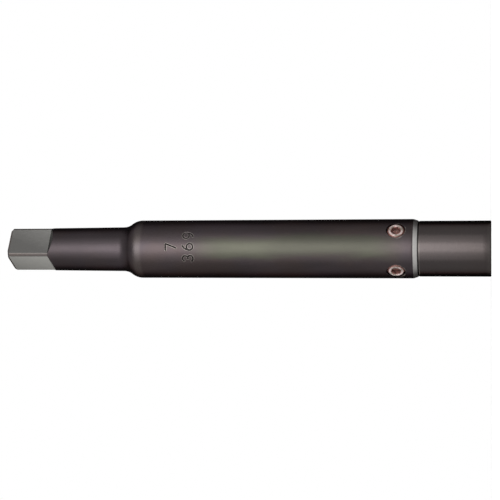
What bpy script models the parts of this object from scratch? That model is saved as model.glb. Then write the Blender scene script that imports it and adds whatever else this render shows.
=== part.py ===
"""Tap extension for an inch-size hand tap, built as a bench turner and fitter would make it.

Five pieces: one turned extension body, with a milled drive square at one end and a socket
with a broached square at the other, and four socket set screws that close on the tap's flats.

The part stands on its nose, the socket end, at z = 0, and +Z runs up the axis to the drive
square. The screws lie on +X, +Y, -X and -Y. All sizes are in metres.
"""

import math

import bmesh
import bpy
from mathutils import Matrix, Vector

# Outside of the body, from the nose up
NOSE_DIAMETER = 0.0253
NOSE_LENGTH = 0.0322
NOSE_EDGE_BREAK = 0.0003
RING_LENGTH = 0.0022
RELIEF_WIDTH = 0.0007
RELIEF_DEPTH = 0.00015
RELIEF_ABOVE_NOSE = 0.0004
BARREL_DIAMETER = 0.0270
BARREL_LENGTH = 0.1270
SHOULDER_ROUND = 0.0076
SHOULDER_FILLET = 0.0079
SHOULDER_ANGLE = math.radians(36.0)
SHANK_DIAMETER_LOW = 0.0207
SHANK_DIAMETER_TOP = 0.0201
SHANK_LENGTH = 0.03483
DRIVE_LENGTH = 0.0198
DRIVE_ACROSS_FLATS = 0.01524
DRIVE_END_CHAMFER = 0.0008
DRIVE_RUNOUT_ANGLE = math.radians(49.0)
DRIVE_TURN = math.radians(-9.0)

# The tap that the socket takes
TAP_SHANK_DIAMETER = 0.02032
TAP_SQUARE = 0.01524
SHANK_CLEARANCE = 0.00004
SQUARE_CLEARANCE = 0.00008

# Inside of the socket, from the nose face inwards
SOCKET_BORE_DEPTH = 0.0300
SOCKET_SQUARE_DEPTH = 0.0560
SOCKET_MOUTH_CHAMFER = 0.0007
BROACH_CORNER_STEP = 0.0001
PILOT_DIAMETER = 0.0150
PILOT_DEPTH = 0.0600
DRILL_POINT_ANGLE = math.radians(118.0)

# Set screws and their holes
SCREW_COUNT = 4
SCREW_HEIGHT = 0.0421
SCREW_DIAMETER = 0.00794
SCREW_LENGTH = 0.00476
SCREW_INSET = 0.0004
SCREW_END_CHAMFER = 0.0008
SCREW_TIP_CHAMFER = 0.0009
SCREW_CUP_DIAMETER = 0.0048
SCREW_CUP_ANGLE = math.radians(118.0)
SCREW_GAP = 0.0003
SCREW_TURNS = tuple(math.radians(angle) for angle in (8.0, 41.0, 26.0, 17.0))
HEX_ACROSS_FLATS = 0.00397
HEX_DEPTH = 0.0022
HEX_MOUTH_DIAMETER = 0.0048
HOLE_RIM_DIAMETER = 0.0093
HOLE_RIM_ANGLE = math.radians(82.0)

# Fineness of the round forms
BODY_SEGMENTS = 96
SCREW_SEGMENTS = 48
ARC_STEPS = 6
CUT_MARGIN = 0.002
SHARP_ANGLE = math.radians(28.0)
WELD_DISTANCE = 1e-6

# Heights and radii that follow from the sizes above
NOSE_RADIUS = NOSE_DIAMETER / 2
BARREL_RADIUS = BARREL_DIAMETER / 2
SHANK_RADIUS_LOW = SHANK_DIAMETER_LOW / 2
SHANK_RADIUS_TOP = SHANK_DIAMETER_TOP / 2
BORE_RADIUS = TAP_SHANK_DIAMETER / 2 + SHANK_CLEARANCE
SOCKET_ACROSS_FLATS = TAP_SQUARE + 2 * SQUARE_CLEARANCE
BARREL_START = NOSE_LENGTH + RING_LENGTH
BARREL_END = BARREL_START + BARREL_LENGTH
SCREW_FACE_RADIUS = BARREL_RADIUS - SCREW_INSET
HOLE_RADIUS = SCREW_DIAMETER / 2 + SCREW_GAP


def clear_scene():
    """Remove every object that the file opened with."""
    for old in list(bpy.data.objects):
        bpy.data.objects.remove(old, do_unlink=True)


def steel(name, colour, roughness, metallic=0.9):
    """Return a metal finish of one colour."""
    finish = bpy.data.materials.new(name)
    finish.use_nodes = True
    shader = finish.node_tree.nodes["Principled BSDF"]
    shader.inputs["Base Color"].default_value = (*colour, 1.0)
    shader.inputs["Roughness"].default_value = roughness
    shader.inputs["Metallic"].default_value = metallic
    return finish


def arc(centre, radius, start, end, steps=ARC_STEPS):
    """Points (r, z) on an arc, both ends included, with angles counted from the r axis."""
    return [
        (
            centre[0] + radius * math.cos(start + (end - start) * i / steps),
            centre[1] + radius * math.sin(start + (end - start) * i / steps),
        )
        for i in range(steps + 1)
    ]


def shoulder_profile():
    """Rounded shoulder between barrel and shank: a round, a short cone and a fillet."""
    drop = BARREL_RADIUS - SHANK_RADIUS_LOW
    rise = 1 - math.cos(SHOULDER_ANGLE)
    limit = min(1.0, drop / ((SHOULDER_ROUND + SHOULDER_FILLET) * rise))
    round_radius = SHOULDER_ROUND * limit
    fillet_radius = SHOULDER_FILLET * limit
    cone_drop = drop - (round_radius + fillet_radius) * rise
    upper = arc((BARREL_RADIUS - round_radius, BARREL_END), round_radius, 0, SHOULDER_ANGLE)
    cone_end = upper[-1][1] + cone_drop / math.tan(SHOULDER_ANGLE)
    shank_start = cone_end + fillet_radius * math.sin(SHOULDER_ANGLE)
    lower = arc(
        (SHANK_RADIUS_LOW + fillet_radius, shank_start),
        fillet_radius,
        math.pi + SHOULDER_ANGLE,
        math.pi,
    )
    if cone_drop < WELD_DISTANCE:
        lower = lower[1:]
    return upper + lower


def socket_profile():
    """Drilled and bored inside of the socket, from the drill point out to the mouth."""
    pilot_radius = PILOT_DIAMETER / 2
    point = pilot_radius / math.tan(DRILL_POINT_ANGLE / 2)
    return [
        (0.0, PILOT_DEPTH + point),
        (pilot_radius, PILOT_DEPTH),
        (pilot_radius, SOCKET_BORE_DEPTH),
        (BORE_RADIUS, SOCKET_BORE_DEPTH),
        (BORE_RADIUS, SOCKET_MOUTH_CHAMFER),
        (BORE_RADIUS + SOCKET_MOUTH_CHAMFER, 0.0),
    ]


def relief_profile():
    """Relief groove in the corner between nose and ring, where the turning tool ran out."""
    top = NOSE_LENGTH + RELIEF_ABOVE_NOSE
    floor = NOSE_RADIUS - RELIEF_DEPTH
    slope = (BARREL_RADIUS - NOSE_RADIUS) / RING_LENGTH
    return [
        (NOSE_RADIUS, top - RELIEF_WIDTH),
        (floor, top - RELIEF_WIDTH + RELIEF_DEPTH),
        (floor, top - RELIEF_DEPTH),
        (NOSE_RADIUS + RELIEF_ABOVE_NOSE * slope, top),
    ]


def body_profile():
    """Whole turned section of the body, from the drill point round to the drive end."""
    shoulder = shoulder_profile()
    end = shoulder[-1][1] + SHANK_LENGTH + DRIVE_LENGTH
    outside = [
        (NOSE_RADIUS - NOSE_EDGE_BREAK, 0.0),
        (NOSE_RADIUS, NOSE_EDGE_BREAK),
        *relief_profile(),
        (BARREL_RADIUS, BARREL_START),
    ]
    top = [
        (SHANK_RADIUS_TOP, shoulder[-1][1] + SHANK_LENGTH),
        (SHANK_RADIUS_TOP, end - DRIVE_END_CHAMFER),
        (SHANK_RADIUS_TOP - DRIVE_END_CHAMFER, end),
        (0.0, end),
    ]
    return socket_profile() + outside + shoulder + top


def turned_mesh(name, profile, segments):
    """Spin a profile of (r, z) points that starts and ends on the axis into a closed mesh."""
    shape = bmesh.new()
    points = [shape.verts.new((r, 0.0, z)) for r, z in profile]
    edges = [shape.edges.new(pair) for pair in zip(points, points[1:])]
    bmesh.ops.spin(
        shape,
        geom=points + edges,
        cent=(0, 0, 0),
        axis=(0, 0, 1),
        angle=2 * math.pi,
        steps=segments,
        use_merge=True,
        use_duplicate=False,
    )
    return closed_mesh(name, shape)


def prism_mesh(name, outline, depth):
    """Extrude a closed outline of (x, y) points along +Z."""
    shape = bmesh.new()
    base = shape.faces.new([shape.verts.new((x, y, 0.0)) for x, y in outline])
    grown = bmesh.ops.extrude_face_region(shape, geom=[base])["geom"]
    moved = [item for item in grown if isinstance(item, bmesh.types.BMVert)]
    bmesh.ops.translate(shape, verts=moved, vec=(0.0, 0.0, depth))
    return closed_mesh(name, shape)


def closed_mesh(name, shape):
    """Weld a bmesh, turn its faces outwards and write it to a new mesh."""
    bmesh.ops.remove_doubles(shape, verts=shape.verts, dist=WELD_DISTANCE)
    bmesh.ops.recalc_face_normals(shape, faces=shape.faces)
    mesh = bpy.data.meshes.new(name)
    shape.to_mesh(mesh)
    shape.free()
    return mesh


def place(name, mesh, matrix=None):
    """Put a mesh into the scene as a named object."""
    item = bpy.data.objects.new(name, mesh)
    item.matrix_world = matrix or Matrix.Identity(4)
    bpy.context.collection.objects.link(item)
    return item


def place_cutter(name, mesh, matrix=None):
    """Put a mesh into the scene as a tool that is neither rendered nor kept."""
    tool = place(name, mesh, matrix)
    tool.hide_render = True
    tool.display_type = "WIRE"
    return tool


def cut(item, tools):
    """Cut every tool out of an object, keep the result as its mesh and drop the tools."""
    for tool in tools:
        step = item.modifiers.new(tool.name, "BOOLEAN")
        step.operation = "DIFFERENCE"
        step.solver = "EXACT"
        step.object = tool
    bpy.context.view_layer.update()
    result = item.evaluated_get(bpy.context.evaluated_depsgraph_get())
    cut_mesh = bpy.data.meshes.new_from_object(result)
    cut_mesh.name = item.data.name
    item.modifiers.clear()
    item.data = cut_mesh
    for tool in tools:
        bpy.data.objects.remove(tool, do_unlink=True)


def finish_surface(item, finish):
    """Give an object its material, with round surfaces smooth and real edges sharp."""
    item.data.materials.clear()
    item.data.materials.append(finish)
    item.data.shade_smooth()
    item.data.set_sharp_from_angle(angle=SHARP_ANGLE)


def facing_out(azimuth, height=0.0, radius=0.0):
    """Matrix of a piece whose own +Z points away from the body's axis at an azimuth."""
    turn = Matrix.Rotation(azimuth, 4, "Z")
    lean = Matrix.Rotation(math.pi / 2, 4, "Y")
    return turn @ Matrix.Translation((radius, 0.0, height)) @ lean


def drive_flat_tools():
    """Four milling cuts that leave the drive square and its sloping run-outs."""
    root = body_top() - DRIVE_LENGTH
    reach = SHANK_RADIUS_TOP + CUT_MARGIN
    flat = DRIVE_ACROSS_FLATS / 2
    ramp = (reach - flat) / math.tan(DRIVE_RUNOUT_ANGLE)
    side = [
        (flat, root),
        (flat, body_top() + CUT_MARGIN),
        (reach, body_top() + CUT_MARGIN),
        (reach, root - ramp),
    ]
    stand_up = Matrix.Translation((0, reach, 0)) @ Matrix.Rotation(math.pi / 2, 4, "X")
    tools = []
    for number in range(4):
        turn = Matrix.Rotation(DRIVE_TURN + number * math.pi / 2, 4, "Z")
        mesh = prism_mesh("drive_flat_cut", side, 2 * reach)
        tools.append(place_cutter(f"drive_flat_cut_{number + 1}", mesh, turn @ stand_up))
    return tools


def body_top():
    """Height of the drive end above the nose face."""
    return body_profile()[-1][1]


def socket_square_tool():
    """Broach for the socket's square, its corners cut back to just inside the bore."""
    half = SOCKET_ACROSS_FLATS / 2
    corner = BORE_RADIUS - BROACH_CORNER_STEP
    lean = math.acos(min(1.0, half / corner))
    outline = []
    for side in range(4):
        middle = side * math.pi / 2
        outline += arc((0, 0), corner, middle + lean, middle + math.pi / 2 - lean, 4)
    start = SOCKET_BORE_DEPTH - CUT_MARGIN
    mesh = prism_mesh("socket_square_cut", outline, SOCKET_SQUARE_DEPTH - start)
    return place_cutter("socket_square_cut", mesh, Matrix.Translation((0, 0, start)))


def screw_hole_tool(number):
    """Drill and countersink for one set screw's hole."""
    inner = PILOT_DIAMETER / 2 - CUT_MARGIN
    rim = HOLE_RIM_DIAMETER / 2
    slope = math.tan(HOLE_RIM_ANGLE / 2)
    rim_start = BARREL_RADIUS - (rim - HOLE_RADIUS) / slope
    profile = [
        (0.0, inner),
        (HOLE_RADIUS, inner),
        (HOLE_RADIUS, rim_start),
        (rim + CUT_MARGIN * slope, BARREL_RADIUS + CUT_MARGIN),
        (0.0, BARREL_RADIUS + CUT_MARGIN),
    ]
    mesh = turned_mesh("screw_hole_cut", profile, SCREW_SEGMENTS)
    return place_cutter(f"screw_hole_cut_{number + 1}", mesh, facing_out(screw_azimuth(number), SCREW_HEIGHT))


def screw_azimuth(number):
    """Direction of one set screw round the body's axis."""
    return 2 * math.pi * number / SCREW_COUNT


def make_body(finish):
    """Turn the body, mill its drive square, broach its socket and drill its screw holes."""
    body = place("extension_body", turned_mesh("extension_body", body_profile(), BODY_SEGMENTS))
    holes = [screw_hole_tool(number) for number in range(SCREW_COUNT)]
    cut(body, drive_flat_tools() + [socket_square_tool()] + holes)
    finish_surface(body, finish)
    return body


def screw_profile():
    """Section of a cup-point set screw, from the cup out and up to its outer face."""
    radius = SCREW_DIAMETER / 2
    cup = SCREW_CUP_DIAMETER / 2
    return [
        (0.0, -SCREW_LENGTH + cup / math.tan(SCREW_CUP_ANGLE / 2)),
        (cup, -SCREW_LENGTH),
        (radius, -SCREW_LENGTH + SCREW_TIP_CHAMFER),
        (radius, -SCREW_END_CHAMFER),
        (radius - SCREW_END_CHAMFER, 0.0),
        (0.0, 0.0),
    ]


def hex_mouth_profile():
    """Section of the countersink that leads the key into the hexagon socket."""
    mouth = HEX_MOUTH_DIAMETER / 2
    start = HEX_ACROSS_FLATS / 4
    return [
        (0.0, start - mouth),
        (start, start - mouth),
        (mouth + CUT_MARGIN, CUT_MARGIN),
        (0.0, CUT_MARGIN),
    ]


def make_screw(number, finish):
    """Turn one set screw, cut its hexagon socket and set it in its hole."""
    seat = facing_out(screw_azimuth(number), SCREW_HEIGHT, SCREW_FACE_RADIUS)
    seat = seat @ Matrix.Rotation(SCREW_TURNS[number % len(SCREW_TURNS)], 4, "Z")
    name = f"set_screw_{number + 1}"
    screw = place(name, turned_mesh(name, screw_profile(), SCREW_SEGMENTS), seat)
    corner = HEX_ACROSS_FLATS / 2 / math.cos(math.pi / 6)
    key = [(corner * math.cos(i * math.pi / 3), corner * math.sin(i * math.pi / 3)) for i in range(6)]
    key_mesh = prism_mesh("hex_key_cut", key, HEX_DEPTH + CUT_MARGIN)
    key_seat = seat @ Matrix.Translation(Vector((0.0, 0.0, -HEX_DEPTH)))
    mouth_mesh = turned_mesh("hex_mouth_cut", hex_mouth_profile(), SCREW_SEGMENTS)
    mouth = place_cutter("hex_mouth_cut", mouth_mesh, seat)
    cut(screw, [place_cutter("hex_key_cut", key_mesh, key_seat), mouth])
    finish_surface(screw, finish)
    return screw


def main():
    """Build the extension under one empty that stands at the middle of its nose face."""
    clear_scene()
    black_steel = steel("black_oxide_steel", (0.055, 0.045, 0.042), 0.42)
    screw_steel = steel("worn_screw_steel", (0.20, 0.13, 0.11), 0.45)
    carrier = bpy.data.objects.new("tap_extension", None)
    bpy.context.collection.objects.link(carrier)
    pieces = [make_body(black_steel)]
    pieces += [make_screw(number, screw_steel) for number in range(SCREW_COUNT)]
    for piece in pieces:
        piece.parent = carrier


main()
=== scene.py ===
"""Looks of a tap extension that stands on its nose: its finished body, its set screws, a studio."""

import logging
import math
from dataclasses import dataclass, field
from enum import Enum

import bmesh
import bpy
import numpy as np
from mathutils import Matrix, Vector


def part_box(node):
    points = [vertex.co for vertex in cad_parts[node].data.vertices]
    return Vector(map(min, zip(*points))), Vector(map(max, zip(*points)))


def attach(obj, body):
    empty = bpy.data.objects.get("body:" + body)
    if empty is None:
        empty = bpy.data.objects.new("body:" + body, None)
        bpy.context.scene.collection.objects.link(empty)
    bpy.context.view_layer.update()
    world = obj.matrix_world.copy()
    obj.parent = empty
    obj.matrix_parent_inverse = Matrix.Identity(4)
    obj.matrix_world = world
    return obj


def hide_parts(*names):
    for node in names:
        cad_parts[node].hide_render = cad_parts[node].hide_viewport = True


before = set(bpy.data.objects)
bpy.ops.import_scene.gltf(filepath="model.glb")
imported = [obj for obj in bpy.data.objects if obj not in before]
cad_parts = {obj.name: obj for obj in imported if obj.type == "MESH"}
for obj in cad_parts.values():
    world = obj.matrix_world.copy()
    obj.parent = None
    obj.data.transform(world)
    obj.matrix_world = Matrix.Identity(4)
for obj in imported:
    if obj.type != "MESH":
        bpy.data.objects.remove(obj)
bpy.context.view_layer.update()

LOG = logging.getLogger("tap_extension")

MM = 0.001
WELD = 1e-6
CUT_MARGIN = 1.5 * MM
# Angles of the four screws about their own axes
SCREW_TURNS = [math.radians(turn) for turn in (8.0, 41.0, 26.0, 17.0)]
# A thread's flats at crest and root, as a share of its depth, and its smallest sharp angle
THREAD_FLAT = 0.15
THREAD_SHARP_ANGLE = 0.5
# The rubbed edge of a rod's upper chamfer: how deep it starts, and its slope
RUBBED_DEPTH = 0.15 * MM
RUBBED_SLOPE = 2.5
# Inputs that the tree of every threaded rod has, with their default values
ROD_INPUTS: dict[str, float | int] = {
    "Crest": 1.0,
    "Depth": 0.1,
    "Pitch": 1.0,
    "Low": 0.0,
    "High": 1.0,
    "Low Radius": 1.0,
    "High Radius": 1.0,
    "Segments": 72,
    "Rows": 48,
}
Colour = tuple[float, float, float]
Point = tuple[float, float]


class Facing(Enum):
    """Sides of the row frame that a set screw can face, as azimuths in degrees."""

    PLUS_X = 0
    PLUS_Y = 90
    MINUS_X = 180
    MINUS_Y = 270

    @property
    def azimuth(self) -> float:
        """Angle round the body's axis, in radians."""
        return math.radians(self.value)


class Wire:
    """An output socket on which Python's arithmetic adds Math nodes."""

    def __init__(self, graph: "Graph", socket: bpy.types.NodeSocket) -> None:
        """Wrap one output socket.

        Args:
            graph: The graph that new nodes go into.
            socket: The output socket.
        """
        self.graph = graph
        self.socket = socket

    def __add__(self, other: "Value") -> "Wire":
        """Sum."""
        return self.graph.math("ADD", self, other)

    def __sub__(self, other: "Value") -> "Wire":
        """Difference."""
        return self.graph.math("SUBTRACT", self, other)

    def __rsub__(self, other: "Value") -> "Wire":
        """Difference from a number."""
        return self.graph.math("SUBTRACT", other, self)

    def __mul__(self, other: "Value") -> "Wire":
        """Product."""
        return self.graph.math("MULTIPLY", self, other)

    def __truediv__(self, other: "Value") -> "Wire":
        """Quotient."""
        return self.graph.math("DIVIDE", self, other)

    def __rtruediv__(self, other: "Value") -> "Wire":
        """Quotient of a number and this."""
        return self.graph.math("DIVIDE", other, self)

    def __abs__(self) -> "Wire":
        """Absolute value."""
        return self.graph.math("ABSOLUTE", self)

    __radd__ = __add__
    __rmul__ = __mul__


Value = Wire | float


class Graph:
    """A node tree under construction, for shaders and for geometry."""

    def __init__(self, tree: bpy.types.NodeTree) -> None:
        """Start from an empty tree.

        Args:
            tree: The tree, whose nodes are removed first.
        """
        self.tree = tree
        tree.nodes.clear()

    def node(
        self,
        kind: str,
        settings: dict[str, object] | None = None,
        sockets: dict[str | int, object] | None = None,
    ) -> bpy.types.Node:
        """Add one node.

        Args:
            kind: The node's type name.
            settings: Its properties, set before its sockets. "stops" fills a colour ramp.
            sockets: What each input gets, by identifier, name or number: a value, a Wire, or a
                list of Wires for a socket that takes several.

        Returns:
            The new node.
        """
        made = self.tree.nodes.new(kind)
        for name, setting in (settings or {}).items():
            if name == "stops":
                fill_ramp(made.color_ramp, setting)
            else:
                setattr(made, name, setting)
        for key, given in (sockets or {}).items():
            socket = find_socket(made.inputs, key)
            for item in given if isinstance(given, list) else [given]:
                if isinstance(item, Wire):
                    self.tree.links.new(item.socket, socket)
                else:
                    socket.default_value = item
        return made

    def wire(
        self,
        kind: str,
        settings: dict[str, object] | None = None,
        sockets: dict[str | int, object] | None = None,
        output: str | int = 0,
    ) -> Wire:
        """Add one node and wrap one of its outputs.

        Args:
            kind: The node's type name.
            settings: As for node.
            sockets: As for node.
            output: The output's identifier, name or number.

        Returns:
            The wrapped output.
        """
        made = self.node(kind, settings, sockets)
        return Wire(self, find_socket(made.outputs, output))

    def math(self, operation: str, *values: Value) -> Wire:
        """Add a Math node.

        Args:
            operation: Its operation.
            values: Numbers or wires, in the order of its inputs.

        Returns:
            Its result.
        """
        return self.wire("ShaderNodeMath", {"operation": operation}, dict(enumerate(values)))

    def ramp(self, value: Value, low: float, high: float) -> Wire:
        """Smooth step from 0 at low to 1 at high.

        Args:
            value: What is compared.
            low: Where the step starts.
            high: Where it ends, which may be below low.

        Returns:
            The step, between 0 and 1.
        """
        flip = low > high
        step = self.wire(
            "ShaderNodeMapRange",
            {"interpolation_type": "SMOOTHSTEP"},
            {"Value": value, "From Min": min(low, high), "From Max": max(low, high)},
        )
        return 1 - step if flip else step

    def band(self, value: Value, low: float, high: float, edge: float) -> Wire:
        """Mask that is 1 between two limits and falls to 0 over an edge outside them.

        Args:
            value: What is compared.
            low: Lower limit.
            high: Upper limit.
            edge: Width of the fall.

        Returns:
            The mask.
        """
        return self.ramp(value, low - edge, low) * self.ramp(value, high + edge, high)

    def blend(self, factor: Value, low: "Wire | Colour", high: "Wire | Colour") -> Wire:
        """Mix two colours.

        Args:
            factor: Share of the second one.
            low: First colour.
            high: Second colour.

        Returns:
            The mixed colour.
        """
        sides = {
            key: side if isinstance(side, Wire) else (*side, 1.0)
            for key, side in (("A_Color", low), ("B_Color", high))
        }
        return self.wire(
            "ShaderNodeMix",
            {"data_type": "RGBA"},
            {"Factor_Float": factor, **sides},
            "Result_Color",
        )

    def noise(self, at: Wire, size: float, detail: float = 3.0, rough: float = 0.55) -> Wire:
        """Noise with features of a real size.

        Args:
            at: Coordinates in metres.
            size: Feature size in metres.
            detail: Octaves.
            rough: Strength of the finer octaves.

        Returns:
            A value around 0.5.
        """
        sockets = {"Vector": at, "Scale": 1 / size, "Detail": detail, "Roughness": rough}
        return self.wire("ShaderNodeTexNoise", None, sockets, "Fac")

    def stretched(self, at: Wire, scale: tuple[float, float, float]) -> Wire:
        """Coordinates multiplied along each axis.

        Args:
            at: Coordinates.
            scale: Factor along X, Y and Z.

        Returns:
            The product.
        """
        return self.wire(
            "ShaderNodeVectorMath", {"operation": "MULTIPLY"}, {0: at, 1: scale}, "Vector"
        )

    def parts(self, at: Wire) -> list[Wire]:
        """X, Y and Z of a vector."""
        split = self.node("ShaderNodeSeparateXYZ", None, {0: at})
        return [Wire(self, socket) for socket in split.outputs]

    def surface(self, sockets: dict[str | int, object], relief: Wire, bump: Point) -> None:
        """End a shader tree with a Principled surface whose skin is uneven.

        Args:
            sockets: The surface's inputs, but for its normal.
            relief: Height of the skin, from 0 to 1.
            bump: Strength of the bump, and the real height of its relief.
        """
        uneven = {"Strength": bump[0], "Distance": bump[1], "Height": relief}
        normal = self.wire("ShaderNodeBump", None, uneven, "Normal")
        shader = self.wire("ShaderNodeBsdfPrincipled", None, {**sockets, "Normal": normal})
        self.node("ShaderNodeOutputMaterial", None, {"Surface": shader})


def find_socket(sockets: bpy.types.bpy_prop_collection, key: str | int) -> bpy.types.NodeSocket:
    """Find a node's socket.

    Args:
        sockets: The node's inputs or outputs.
        key: Its number, identifier or name.

    Returns:
        The socket.
    """
    if isinstance(key, int):
        return sockets[key]
    for socket in sockets:
        if socket.identifier == key:
            return socket
    return next(socket for socket in sockets if socket.name == key and socket.enabled)


def fill_ramp(ramp: bpy.types.ColorRamp, stops: list[tuple[float, Colour]]) -> None:
    """Set the stops of a colour ramp.

    Args:
        ramp: The ramp.
        stops: Positions and colours, in order.
    """
    while len(ramp.elements) < len(stops):
        ramp.elements.new(1.0)
    for element, (position, colour) in zip(ramp.elements, stops):
        element.position = position
        element.color = (*colour, 1.0)


def new_finish(name: str) -> tuple[bpy.types.Material, Graph]:
    """Start a material with an empty shader tree.

    Args:
        name: The material's name.

    Returns:
        The material and its tree.
    """
    finish = bpy.data.materials.new(name)
    finish.use_nodes = True
    return finish, Graph(finish.node_tree)


def mesh_from(name: str, shape: bmesh.types.BMesh) -> bpy.types.Mesh:
    """Weld a bmesh, turn its faces outwards and write it to a new mesh.

    Args:
        name: The mesh's name.
        shape: The bmesh, which is freed.

    Returns:
        The mesh.
    """
    bmesh.ops.remove_doubles(shape, verts=shape.verts, dist=WELD)
    bmesh.ops.recalc_face_normals(shape, faces=shape.faces)
    mesh = bpy.data.meshes.new(name)
    shape.to_mesh(mesh)
    shape.free()
    return mesh


def ring_grid(name: str, rings: np.ndarray) -> bpy.types.Mesh:
    """Skin a stack of closed rings, whose first and last rings may shrink to a point.

    Args:
        name: The mesh's name.
        rings: Points as an array of (ring, place in the ring, 3).

    Returns:
        A closed mesh.
    """
    count, around = rings.shape[:2]
    shape = bmesh.new()
    verts = [[shape.verts.new(point) for point in ring] for ring in rings]
    for low, high in zip(verts[:-1], verts[1:]):
        for here in range(around):
            after = (here + 1) % around
            shape.faces.new((low[here], low[after], high[after], high[here]))
    bmesh.ops.dissolve_degenerate(shape, dist=WELD / 10, edges=shape.edges)
    return mesh_from(name, shape)


def turned(name: str, outline: list[Point], segments: int) -> bpy.types.Mesh:
    """Turn an outline about Z.

    Args:
        name: The mesh's name.
        outline: Points (r, z) that start and end on the axis.
        segments: Faces round the axis.

    Returns:
        A closed mesh.
    """
    angles = np.linspace(0, 2 * math.pi, segments, endpoint=False)
    radii, heights = (np.array(side)[:, None] for side in zip(*outline))
    rings = np.stack(
        [radii * np.cos(angles), radii * np.sin(angles), heights + 0 * angles], axis=-1
    )
    return ring_grid(name, rings)


def arc(centre: Point, radius: float, start: float, end: float, steps: int) -> list[Point]:
    """Points on an arc, both ends included.

    Args:
        centre: Its centre (r, z).
        radius: Its radius.
        start: First angle from the r axis, in radians.
        end: Last angle.
        steps: Chords.

    Returns:
        The points (r, z).
    """
    angles = np.linspace(start, end, steps + 1)
    return [(centre[0] + radius * math.cos(a), centre[1] + radius * math.sin(a)) for a in angles]


def bow(centre: Point, radii: Point, start: float, end: float) -> list[Point]:
    """Points on a stretch of an upright ellipse.

    Args:
        centre: Its centre.
        radii: Half its width and half its height.
        start: First angle, in degrees.
        end: Last angle.

    Returns:
        The points.
    """
    angles = np.radians(np.linspace(start, end, 2 + round(abs(end - start) / 20)))
    return [(centre[0] + radii[0] * math.cos(a), centre[1] + radii[1] * math.sin(a)) for a in angles]


def facing_out(azimuth: float, height: float, radius: float = 0.0) -> Matrix:
    """Place of a piece whose own +Z points away from the body's axis.

    Args:
        azimuth: Direction round the axis, in radians.
        height: Height above the nose face.
        radius: Distance of its origin from the axis.

    Returns:
        Its matrix.
    """
    lean = Matrix.Rotation(math.pi / 2, 4, "Y")
    return Matrix.Rotation(azimuth, 4, "Z") @ Matrix.Translation((radius, 0, height)) @ lean


def add_object(name: str, mesh: bpy.types.Mesh) -> bpy.types.Object:
    """Link a mesh into the scene at the origin.

    Args:
        name: The object's name.
        mesh: Its mesh.

    Returns:
        The object.
    """
    item = bpy.data.objects.new(name, mesh)
    bpy.context.scene.collection.objects.link(item)
    return item


def evaluated_mesh(item: bpy.types.Object, name: str) -> bpy.types.Mesh:
    """Plain mesh of an object with its modifiers applied.

    Args:
        item: The object.
        name: The new mesh's name.

    Returns:
        The mesh.
    """
    bpy.context.view_layer.update()
    graph = bpy.context.evaluated_depsgraph_get()
    mesh = bpy.data.meshes.new_from_object(item.evaluated_get(graph))
    mesh.name = name
    return mesh


def cut(item: bpy.types.Object, tools: list[bpy.types.Object]) -> None:
    """Cut tools out of an object one after the other, close its seams and delete the tools.

    Args:
        item: The object, which gets the result as its mesh.
        tools: The cutting objects.
    """
    for tool in tools:
        step = item.modifiers.new(tool.name, "BOOLEAN")
        step.operation = "DIFFERENCE"
        step.solver = "EXACT"
        step.object = tool
    result = evaluated_mesh(item, item.data.name)
    item.modifiers.clear()
    shape = bmesh.new()
    shape.from_mesh(result)
    item.data = mesh_from(item.name, shape)
    for tool in tools:
        bpy.data.objects.remove(tool, do_unlink=True)


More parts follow.
